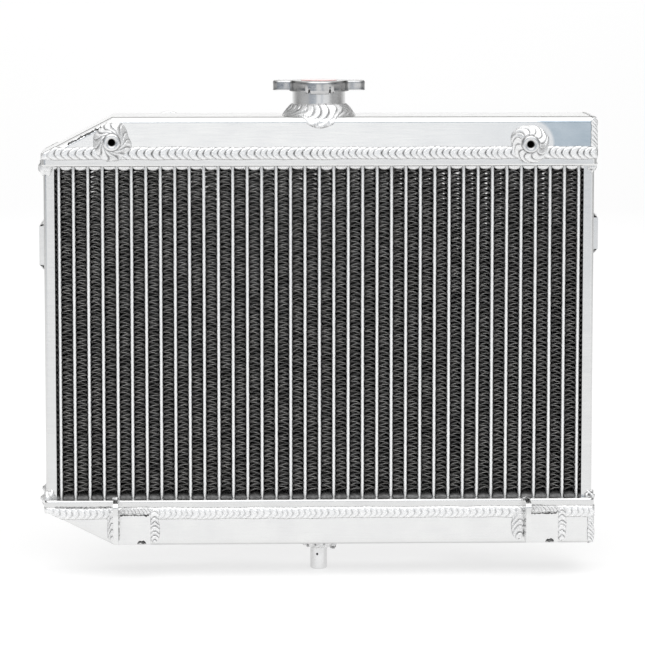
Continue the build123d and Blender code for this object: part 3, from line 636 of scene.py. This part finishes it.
def make_neck_weld():
    """The cone of weld at the neck's foot, which spills over the tank's front bend."""
    bend = 4.0
    foot_r, rim_r, root_r = 25.6, 18.3, 18.2
    climb, sink = 8.5, 0.2
    top, front = TANK_TOP / MM, TANK_FRONT / MM
    centre_y = centre_of("filler_neck")[1]

    def edges(angle, extra):
        way = Vector((math.sin(angle), math.cos(angle), 0.0))
        forward = max(0.0, -way.y)
        reach = foot_r * (1 + extra) + 1.6 * forward ** 6
        x, y, z = way.x * reach, centre_y + way.y * reach, top - sink
        over = front + bend - y
        if over > 0:
            run = min(over, bend)
            z = top - sink - bend + math.sqrt(max(0.0, bend * bend - run * run))
            z -= 1.2 * max(0.0, over - bend) + 0.6 * forward ** 8
            y = max(y, front - sink)
        foot = Vector((x, y, z)) * MM
        rim = Vector((way.x * rim_r, centre_y + way.y * rim_r, top + climb * (1 + 3 * extra))) * MM
        push = (way * 0.8 + Vector((0, 0, 0.6))).normalized() * (0.9 + 1.8 * forward ** 4) * MM
        root = Vector((way.x * root_r, centre_y + way.y * root_r, top - 2.0)) * MM
        return foot, rim, push, root

    out = Builder()
    ring_bead(out, edges, radius=22.0, pitch=5.4, seed=41, wobble=0.03, lean=-1, skew=0.8, depth=0.8,
              steps=18, point=1.1, dark=0.9)
    out.finish("neck_weld_bead", "weld_aluminium", stands_for=("weld_neck",))


def make_pin_weld():
    """The cone of weld that runs from the tank's underside down on to the pin, with a step at its right."""
    foot_r, pin_r, root_r = 16.0, 6.2, 6.0

    def edges(angle, extra):
        way = Vector((math.cos(angle), math.sin(angle), 0.0))
        foot = way * foot_r * (1 + extra) * MM + Vector((0, 0, TANK_BOTTOM - 0.1 * MM))
        top = way * pin_r * MM - Vector((0, 0, 2.6 * MM))
        push = (way - Vector((0, 0, 1))).normalized() * 1.5 * (1 + 2 * extra) * MM
        return foot, top, push, way * root_r * MM + Vector((0, 0, TANK_BOTTOM))

    out = Builder()
    ring_bead(out, edges, radius=10.0, pitch=4.6, seed=51, wobble=0.1, depth=0.9, skew=0.5, dark=0.9,
              steps=16)
    lump(out, centre=(9.9, -6.0, 0.2), radii=(2.3, 4.0, 3.4), seed=53, dark=0.75)
    out.finish("pin_weld_bead", "weld_aluminium", stands_for=("weld_pin",))


def make_bracket_welds():
    """Over each bracket's foot a rope of weld, a bead at either side of it, and a puddle on its leg."""
    out = Builder()
    face = TANK_FRONT / MM
    foot_low, foot_top = TANK_BOTTOM / MM + 1.2, BRACKET_FOOT_TOP / MM
    for k, (side, width) in enumerate((("left", 2.6), ("right", 4.4))):
        low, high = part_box("bracket_" + side)
        leg, end = low.x / MM, high.x / MM
        rope_z, right_x, left_x = foot_top + 1.8, end + 2.6, leg - width + 0.6
        straight_bead(out, (leg + 3.4, face - 1.6, rope_z), (end + 1, face - 1.6, rope_z),
                      across=(0, -0.8, 2.6), push=(0, -1.6, 0.9), pitch=2.6, seed=61 + k,
                      depth=0.7, lean=1, point=0.3, skew=0.7)
        straight_bead(out, (right_x, face - 1.2, foot_top + 3.5), (right_x, face - 1.2, foot_low + 1),
                      across=(3.4, 0.6, 0), push=(0.6, -2.2, 0), pitch=3.4, seed=63 + k,
                      depth=0.7, lean=-1, point=0.7, steps=14)
        straight_bead(out, (left_x, face - 0.6, foot_top + 4), (left_x, face - 0.6, foot_low + 2),
                      across=(width, -0.6, 0), push=(0, -1.6, 0), pitch=4.4, seed=65 + k,
                      depth=0.8, lean=-1, skew=0.6, steps=14)
        lump(out, centre=(leg + 1.6, face - 1.6, high.z / MM - 0.9), radii=(2.7, 3.0, 1.7), seed=68 + k,
             dark=0.75)
    out.finish("bracket_weld_beads", "weld_aluminium", stands_for=("weld_brackets",))


def make_end_welds():
    """Ropes of weld along the edges of the right-hand end plates."""
    out = Builder()
    x = TANK_END / MM - 1.0
    half = TANK_REAR / MM
    upper = (span("weld_top_seam", 2)[1] / MM - 2, TANK_TOP / MM - 0.6, 1)
    lower = (TANK_BOTTOM / MM + 0.6, span("weld_bottom_seam", 2)[0] / MM + 2, -1)
    rope = dict(pitch=2.7, depth=0.75, point=0.25, skew=0.9)
    for k, (low, high, up) in enumerate((upper, lower)):
        for j, way in enumerate((-1, 1)):
            y = way * (half + 0.1)
            straight_bead(out, (x, y, low), (x, y, high), across=(2.3, -way * 0.5, 0),
                          push=(0.2, way * 0.7, 0), seed=71 + 2 * k + j, **rope)
        level = (high if up > 0 else low) + 0.2 * up
        straight_bead(out, (x, 1 - half, level), (x, half - 1, level), across=(2.3, 0, -up * 0.6),
                      push=(0.2, 0, up * 0.4), seed=77 + k, **rope)
    out.finish("end_plate_weld_beads", "weld_aluminium", stands_for=("weld_end_plates",))


def make_side_pad_welds():
    """A bead above and a bead below each side pad."""
    out = Builder()
    for k, (side, way) in enumerate((("left", -1), ("right", 1))):
        low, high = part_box("side_pad_" + side)
        x = (low.x if way < 0 else high.x) / MM - way * 1.9
        for j, (edge, up) in enumerate(((high.z, 1), (low.z, -1))):
            z = edge / MM + up * 1.6
            straight_bead(out, (x, low.y / MM, z), (x, high.y / MM, z), across=(way * 1.6, 0, -up * 1.8),
                          push=(way * 0.6, 0, up * 0.6), pitch=3.6, seed=81 + 2 * k + j, depth=0.6)
    out.finish("side_pad_weld_beads", "weld_aluminium", stands_for=("weld_side_pads",))


def painted_shadow_line(out, points, push, half_width, seed):
    """A thin uneven dark ribbon of painted shadow, standing for the shade where two sheets meet at a weld's
    foot.
    """
    rng = random.Random(seed)
    path = [Vector(p) * MM for p in points]
    push = Vector(push) * MM
    rows = []
    for first, last in zip(path, path[1:]):
        count = max(4, int((last - first).length / (0.9 * MM)))
        across = (last - first).normalized().cross(push).normalized()
        for i in range(count + 1):
            middle = first.lerp(last, i / count) + across * rng.gauss(0, 0.18) * MM
            wide = half_width * MM * rng.uniform(0.35, 1.3)
            depth = rng.uniform(0.75, 1.0)
            rows.append([(middle - across * wide, depth), (middle + push * 0.3, depth),
                         (middle + across * wide, depth), (middle - push, depth)])
    out.loops(rows)


def make_painted_shadow_lines():
    """Painted shadow: dark lines for the shade at the slanted fold of the top tank, along the bottom
    seam's left end, round the feet of the brackets and in their notches."""
    out = Builder()

    def line(start, end, proud, push, half_width, seed):
        """A painted shadow line between two places, each an X and a Z, that stands proud of the tanks'
        front.
        """
        points = [(x, TANK_FRONT / MM - proud, z) for x, z in (start, end)]
        painted_shadow_line(out, points, (0, -push, 0), half_width, seed)

    line((-173.5, UPPER_SEAM / MM + 6.2), (-150.0, TANK_TOP / MM - 6.5), proud=0.0, push=0.5,
         half_width=0.75, seed=201)
    seam_top = span("weld_bottom_seam", 2)[1] / MM
    line((-184.0, seam_top + 0.1), (-145.0, seam_top + 0.2), proud=1.4, push=0.6, half_width=0.2, seed=202)
    foot_top = BRACKET_FOOT_TOP / MM
    for k, (side, notch) in enumerate((("left", -124.0), ("right", 160.3))):
        (leg, _, low), (end, _, high) = (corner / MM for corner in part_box("bracket_" + side))
        line((leg + 3.9, foot_top - 0.6), (end - 1, foot_top - 0.6), proud=3.2, push=0.5,
             half_width=0.55, seed=203 + k)
        line((leg + 3.3, foot_top - 2), (leg + 3.3, low + 3), proud=3.1, push=0.4, half_width=0.4,
             seed=205 + k)
        line((leg + 0.1, high - 6), (leg + 0.1, low + 4), proud=3.1, push=0.4, half_width=0.3,
             seed=209 + k)
        line((notch - 5, low + 1.3), (notch + 3, low + 1.2), proud=0.4, push=0.4, half_width=1.1,
             seed=207 + k)
    out.finish("painted_shadow_lines", "weld_aluminium")


def lump(out, centre, radii, seed, dark=0.0, rows=14, sides=20):
    """A puddle of weld metal: an uneven ball. dark is how much its hollows are darkened."""
    rng = random.Random(seed)
    waves = []
    for _ in range(7):
        axis = Vector([rng.uniform(-1.6, 1.6) for _ in range(3)])
        waves.append((axis, rng.uniform(0, 6), rng.uniform(0.04, 0.13)))
    loops = []
    for i in range(1, rows):
        tilt = math.pi * i / rows
        loop = []
        for j in range(sides):
            turn = 2 * math.pi * j / sides
            way = Vector((math.sin(tilt) * math.cos(turn), math.sin(tilt) * math.sin(turn), math.cos(tilt)))
            swell = sum(size * math.sin(5 * way.dot(axis) + start) for axis, start, size in waves)
            point = Vector([c + r * w * (1 + swell) for c, r, w in zip(centre, radii, way)]) * MM
            loop.append((point, min(1.0, max(0.0, dark - 4.0 * swell - 0.5))))
        loops.append(loop)
    out.loops(loops[::-1])


def make_corner_welds():
    """A puddle of weld at each corner of the two side plates."""
    out = Builder()
    side_x = span("side_plate_right", 0)[1] / MM
    side_y = span("side_plate_right", 1)[1] / MM
    levels = (LOWER_FACE / MM, UPPER_FACE / MM)
    corners = [(x, y, z) for x in (-side_x, side_x) for y in (-side_y, side_y) for z in levels]
    for k, (x, y, z) in enumerate(corners):
        radii, dark = ((4.6, 3.2, 6.0), 0.1) if x < 0 else ((3.4, 3.0, 4.4), 0.5)
        lump(out, (x * 0.992, y * 0.97, z), radii, seed=91 + k, dark=dark)
    out.finish("corner_tacks", "weld_aluminium", stands_for=("weld_corners",))


def make_rear_welds():
    """The beads round the hose necks, the drain boss and the overflow nipple."""
    hoses = Builder()
    for k, node in enumerate(("inlet_neck", "outlet_neck")):
        x, _, z = centre_of(node)
        edges = wall_ring(x, TANK_REAR / MM, z, towards=1, inner_r=12.7, outer_r=16.4, height=3.6, bulge=1.4)
        ring_bead(hoses, edges, radius=15.0, pitch=4.4, seed=101 + k, wobble=0.02, depth=0.6)
    hoses.finish("hose_neck_weld_beads", "weld_aluminium", stands_for=("weld_hose_necks",))

    drain = Builder()
    x, _, z = centre_of("drain_boss")
    wall = span("drain_boss", 1)[0] / MM
    edges = wall_ring(x, wall, z, towards=1, inner_r=8.5, outer_r=10.4, height=2.2, bulge=0.9)
    ring_bead(drain, edges, radius=9.5, pitch=3.2, seed=105, wobble=0.02, depth=0.6)
    drain.finish("drain_weld_bead", "weld_aluminium", stands_for=("weld_drain",))

    nipple = Builder()
    x, _, z = centre_of("overflow_nipple")
    neck_rear = span("filler_neck", 1)[1] / MM - 1.4
    edges = wall_ring(x, neck_rear - 0.5, z, towards=1, inner_r=4.8, outer_r=5.6, height=1.4, bulge=0.4,
                      highest=span("overflow_nipple", 2)[1])
    ring_bead(nipple, edges, radius=5.0, pitch=2.4, seed=106, wobble=0.01, depth=0.6)
    nipple.finish("nipple_weld_bead", "weld_aluminium", stands_for=("weld_nipple",))


# ---------------------------------------------------------------- cap and threads
def make_cap_shell():
    """The pressed cap: a disc with two ears, a rolled rim, a skirt, and slotted tabs that end in hooks."""
    radius, hook_radius = 21.25, 18.75
    ear_half, ear_reach = 8.5, 32.0
    sheet, plate = 1.0, 1.2
    top = CAP_HIGH.z / MM
    skirt, ear_low, tab_low = top - 7.2, top - 6.7, CAP_LOW.z / MM
    centre = Vector((CAP_CENTRE.x, CAP_CENTRE.y, 0.0)) / MM
    turns = 360

    def outline(angle):
        """Reach of the cap's plan, with hollow corners where the ears leave the disc."""
        across, along = abs(math.sin(angle)), abs(math.cos(angle))
        ear = ((along / ear_reach) ** 5 + (across / ear_half) ** 5) ** -0.2
        hollow = 0.35 * math.exp(-((ear - radius) / 1.5) ** 2)
        return max(radius, ear) + hollow

    rows = []
    for i in range(turns):
        angle = 2 * math.pi * i / turns
        way = Vector((math.cos(angle), math.sin(angle), 0.0))
        reach = outline(angle)
        on_ear = reach > radius + 1
        inner = reach - (plate if on_ear else sheet)
        # dark marks the slots beside the tabs for painted shade, but cap_steel has no colour for such marks,
        # so it shows nothing.
        low, tuck, dark = (ear_low if on_ear else skirt), 0.0, 0.0
        off = math.degrees(abs(math.asin(way.x)))
        if off < 17:
            low, tuck = tab_low, 0.25
        elif off < 22:
            low, dark = skirt + 1.6, 1.0
        elif off < 28:
            low, tuck = tab_low + 0.5, 0.6
        lip, lip_top = inner, low + sheet
        if off < 15.5 or 23.5 < off < 26.5:
            lip, lip_top = hook_radius, tab_low + sheet
        profile = [
            (0.1, top, 0.0),
            (reach * 0.8, top, 0.0),
            (reach - 1.5, top, 0.0),
            (reach - 0.7, top - 0.15, 0.0),
            (reach - 0.15, top - 0.7, 0.0),
            (reach, top - 1.5, 0.0),
            (reach - 0.1, top - 3.0, 0.1 * dark),
            (reach - 0.1, max(low, skirt) + 0.6, 0.5 * dark),
            (reach - tuck, low, dark),
            (lip, low, dark),
            (lip, lip_top, dark),
            (inner, lip_top, dark),
            (inner, top - 3.0, dark),
            (inner, top - plate, 0.0),
            (0.1, top - plate, 0.0),
        ]
        rows.append([((centre + way * r + Vector((0, 0, z))) * MM, g) for r, z, g in profile])
    out = Builder()
    out.loops(rows, closed_ends=True)
    out.finish("cap_shell_skin", "cap_steel", body="cap_turning", stands_for=("cap_shell",))


def threaded_profile(mouth_r, thread_r, depth, pitch, turn):
    """Radius, depth and painted shade down a countersunk threaded hole, for one place round it. The painted
    shade deepens down the hole.
    """
    steps = max(6, int(depth / pitch * 6))
    profile = [(mouth_r, 0.0, 0.1), (thread_r, 0.6, 0.8)]
    for j in range(steps + 1):
        place = 0.7 + (depth - 1.2) * j / steps
        ridge = abs((place / pitch + turn) % 1.0 - 0.5) * 2
        profile.append((thread_r - 0.16 * thread_r * ridge, place, min(1.0, 0.8 + place / 6)))
    return profile + [(0.05, depth - 0.3, 1.0)]


def turned_piece(name, start, way, body_profile, hole, slot, stands_for=()):
    """A turned part with a threaded hole in its face. start is the face's middle, way leads inwards,
    body_profile lists radius, depth and painted shade from the back to the face, and hole is what
    threaded_profile takes."""
    start, way = Vector(start), Vector(way)
    side = way.orthogonal().normalized()
    other = way.cross(side)
    turns = 40
    rows = []
    for i in range(turns):
        angle = 2 * math.pi * i / turns
        out = side * math.cos(angle) + other * math.sin(angle)
        profile = body_profile + threaded_profile(turn=i / turns, **hole)
        rows.append([(start + (out * r + way * d) * MM, g) for r, d, g in profile])
    made = Builder()
    made.loops(rows, closed_ends=True)
    made.finish(name, slot, stands_for=stands_for)


def make_threads():
    """The two front bosses, and the small side hole of the lower pin."""
    boss_hole = dict(mouth_r=3.05, thread_r=2.5, depth=7.0, pitch=1.0)
    for side in ("left", "right"):
        node = "boss_" + side
        low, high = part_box(node)
        length = (high.y - low.y) / MM
        radius = (high.x - low.x) / 2 / MM
        # The third number of each entry is painted shade, on the boss's side towards its front and round the
        # mouth of its hole.
        body = [
            (0.05, length, 0.0),
            (radius, length, 0.0),
            (radius, 1.0, 0.35),
            (radius - 0.1, 0.7, 0.2),
            (radius - 0.7, 0.1, 0.0),
            (radius - 0.9, 0.0, 0.0),
            (3.7, 0.0, 0.0),
            (3.5, 0.1, 0.25),
        ]
        face = ((low.x + high.x) / 2, low.y, (low.z + high.z) / 2)
        turned_piece(node + "_turned", face, (0, 1, 0), body, boss_hole, "turned_aluminium",
                     stands_for=(node,))

    pin_hole = dict(mouth_r=0.8, thread_r=0.7, depth=2.6, pitch=0.6)
    # The pin's small hole is lined with a sheet painted dark all over: painted shade inside the hole.
    shade_lining = [(0.05, 2.9, 1.0), (0.84, 2.9, 1.0), (0.84, 0.1, 1.0)]
    face = (-1.2 * MM, span("lower_pin", 1)[0] + 0.1 * MM, -7 * MM)
    turned_piece("pin_hole_shade_lining", face, (0, 1, 0), shade_lining, pin_hole, "turned_aluminium")


def make_spring(node, body, wire_r, turns):
    """A helical spring wound over the full height of its CAD node."""
    low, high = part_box(node)
    centre = Vector(((low.x + high.x) / 2, (low.y + high.y) / 2, 0.0))
    length = high.z - low.z
    radius = (high.x - low.x) / 2 - wire_r
    up = Vector((0.0, 0.0, 1.0))
    sides, steps = 10, 28
    rows = []
    for i in range(int(turns * steps) + 1):
        share = i / (turns * steps)
        angle = 2 * math.pi * turns * share
        out = Vector((math.cos(angle), math.sin(angle), 0.0))
        middle = centre + out * radius + up * (low.z + wire_r + (length - 2 * wire_r) * share)
        row = []
        for j in range(sides):
            around = 2 * math.pi * j / sides
            row.append(middle + (out * math.cos(around) + up * math.sin(around)) * wire_r)
        rows.append(row)
    made = Builder()
    made.loops(rows)
    spring = made.finish(node + "_coil", "spring_steel", body=body, stands_for=(node,))
    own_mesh(spring)


# ---------------------------------------------------------------- stage, light and camera
def make_world():
    """A white studio, with thin dark bands low behind and low in front, and dimmer sides."""
    world = bpy.data.worlds.new("studio")
    bpy.context.scene.world = world
    world.use_nodes = True
    n = Nodes(world.node_tree)
    way = n.add("SeparateXYZ", Vector=n.add("TexCoord").outputs["Generated"])
    front = n.math("MULTIPLY", way.outputs[1], -1.0)
    swing = n.math("DIVIDE", n.math("ARCTAN2", way.outputs[2], front), math.pi)
    arch = n.ramp(swing, [
        (0.0, 0.9),
        (0.02, (0.32, 0.38, 0.45)),
        (0.06, (0.45, 0.5, 0.55)),
        (0.11, 1.0),
        (0.70, 1.0),
        (0.78, (0.15, 0.145, 0.14)),
        (0.90, (0.15, 0.145, 0.14)),
        (0.93, 1.1),
    ])
    sides = n.ramp(n.math("ABSOLUTE", way.outputs[0]), [
        (0.0, 1.0),
        (0.5, 1.0),
        (0.72, 0.5),
        (0.86, 0.22),
        (1.0, 0.45),
    ])
    light = n.add("Background", Color=n.mix(1.0, arch, sides, "MULTIPLY"), Strength=1.0)
    output = n.add("OutputWorld")
    n.set(output, "Surface", light.outputs[0])


def make_stage():
    """A wide pale floor that glows a little, so that shadows on it stay faint. Well away from the
    object it darkens in some directions, which gives the bright sheet something to reflect."""
    size = 60.0
    signs = ((-1, -1), (1, -1), (1, 1), (-1, 1))
    corners = [(size * x, size * y, FLOOR_Z) for x, y in signs]
    mesh = bpy.data.meshes.new("floor")
    mesh.from_pydata(corners, [], [(0, 1, 2, 3)])
    paper = bpy.data.materials.new("floor_paper")
    paper.use_nodes = True
    n = Nodes(paper.node_tree)
    place = n.add("TexCoord").outputs["Object"]
    parts = n.add("SeparateXYZ", Vector=place)
    front = n.math("MULTIPLY", parts.outputs[1], -1.0)
    turn = n.math("DIVIDE", n.math("ARCTAN2", parts.outputs[0], front), 2 * math.pi)
    round_about = n.ramp(n.math("ADD", turn, 0.5), [
        (0.0, 0.95),
        (0.07, 0.9),
        (0.2, 0.35),
        (0.36, 0.5),
        (0.39, (0.16, 0.2, 0.26)),
        (0.46, (0.22, 0.26, 0.32)),
        (0.478, 0.95),
        (0.5185, 0.95),
        (0.5215, (0.42, 0.47, 0.53)),
        (0.54, (0.5, 0.54, 0.6)),
        (0.55, 0.95),
        (0.61, 0.9),
        (0.65, 0.35),
        (0.8, 0.4),
        (0.93, 0.9),
        (1.0, 0.95),
    ])
    away = n.add("VectorMath", {"operation": "LENGTH"}, Vector=place).outputs["Value"]
    far = n.range(away, 1.6, 3.2, 0.0, 1.0)
    shade = n.mix(far, n.mix(n.noise(place, 3.0), grey(0.985), grey(1.0)), round_about)
    shader = n.add("BsdfPrincipled", Roughness=0.9)
    n.set(shader, "Base Color", n.mix(far, grey(FLOOR_MATT), grey(0.0)))
    n.set(shader, "Emission Color", shade)
    n.set(shader, "Emission Strength", n.range(far, 0.0, 1.0, FLOOR_GLOW, 1.0))
    n.set(n.add("OutputMaterial"), "Surface", shader.outputs[0])
    mesh.materials.append(paper)
    floor = bpy.data.objects.new("floor", mesh)
    bpy.context.scene.collection.objects.link(floor)


def make_sun():
    """A broad soft light from above and in front."""
    sun = bpy.data.lights.new("soft_overhead", "SUN")
    sun.energy = SUN_STRENGTH
    sun.angle = math.radians(70)
    obj = bpy.data.objects.new("soft_overhead", sun)
    obj.rotation_euler = (math.radians(40), 0, 0)
    bpy.context.scene.collection.objects.link(obj)


def make_camera():
    """A long lens a little above the front and a touch to the left."""
    pitch, yaw = math.radians(6.51), math.radians(1.8)
    distance = 2380 * MM
    aim = Vector((2.1 * MM, CORE_FRONT, TANK_BOTTOM + 154.7 * MM))
    camera = bpy.data.cameras.new("camera")
    camera.sensor_width = 36.0
    camera.lens = 191.2
    camera.clip_end = 200.0
    obj = bpy.data.objects.new("camera", camera)
    away = Vector((-math.sin(yaw) * math.cos(pitch), -math.cos(yaw) * math.cos(pitch), math.sin(pitch)))
    obj.location = aim + away * distance
    obj.rotation_euler = (math.pi / 2 - pitch, 0, -yaw)
    bpy.context.scene.collection.objects.link(obj)
    bpy.context.scene.camera = obj


# ---------------------------------------------------------------- everything
MATERIALS = make_materials()
bpy.context.scene.view_settings.view_transform = "Standard"
make_world()
make_stage()
make_sun()
make_camera()

for part in frame["record"]["subparts"]:
    mesh = frame["nodes"][part["node"]].data
    mesh.materials.clear()
    mesh.materials.append(MATERIALS[part["material_slot"]])

make_tubes("tubes_front_row", row=-1, seed=1)
make_tubes("tubes_rear_row", row=1, seed=2)
make_fins()
make_domes("top_header_domes", UPPER_FACE, up=-1, painted_darkening=0.0)
# The bottom domes are painted dark: a painted reflection of the dark core above them.
make_domes("bottom_header_domes", LOWER_FACE, up=1, painted_darkening=0.93)
make_seam("weld_top_seam", keep=-1, pitch=4.8, lean=1, seed=11, dark=1.0, slant=top_slant)
make_seam("weld_bottom_seam", keep=1, pitch=4.2, lean=-1, seed=12, dark=0.45, slant=bottom_slant)
make_boss_welds()
make_neck_weld()
make_pin_weld()
make_bracket_welds()
make_end_welds()
make_side_pad_welds()
make_painted_shadow_lines()
make_corner_welds()
make_rear_welds()
make_cap_shell()
make_threads()
make_spring("pressure_spring", "cap_insert", wire_r=0.8 * MM, turns=4)
make_spring("vacuum_spring", "pressure_valve", wire_r=0.25 * MM, turns=4)
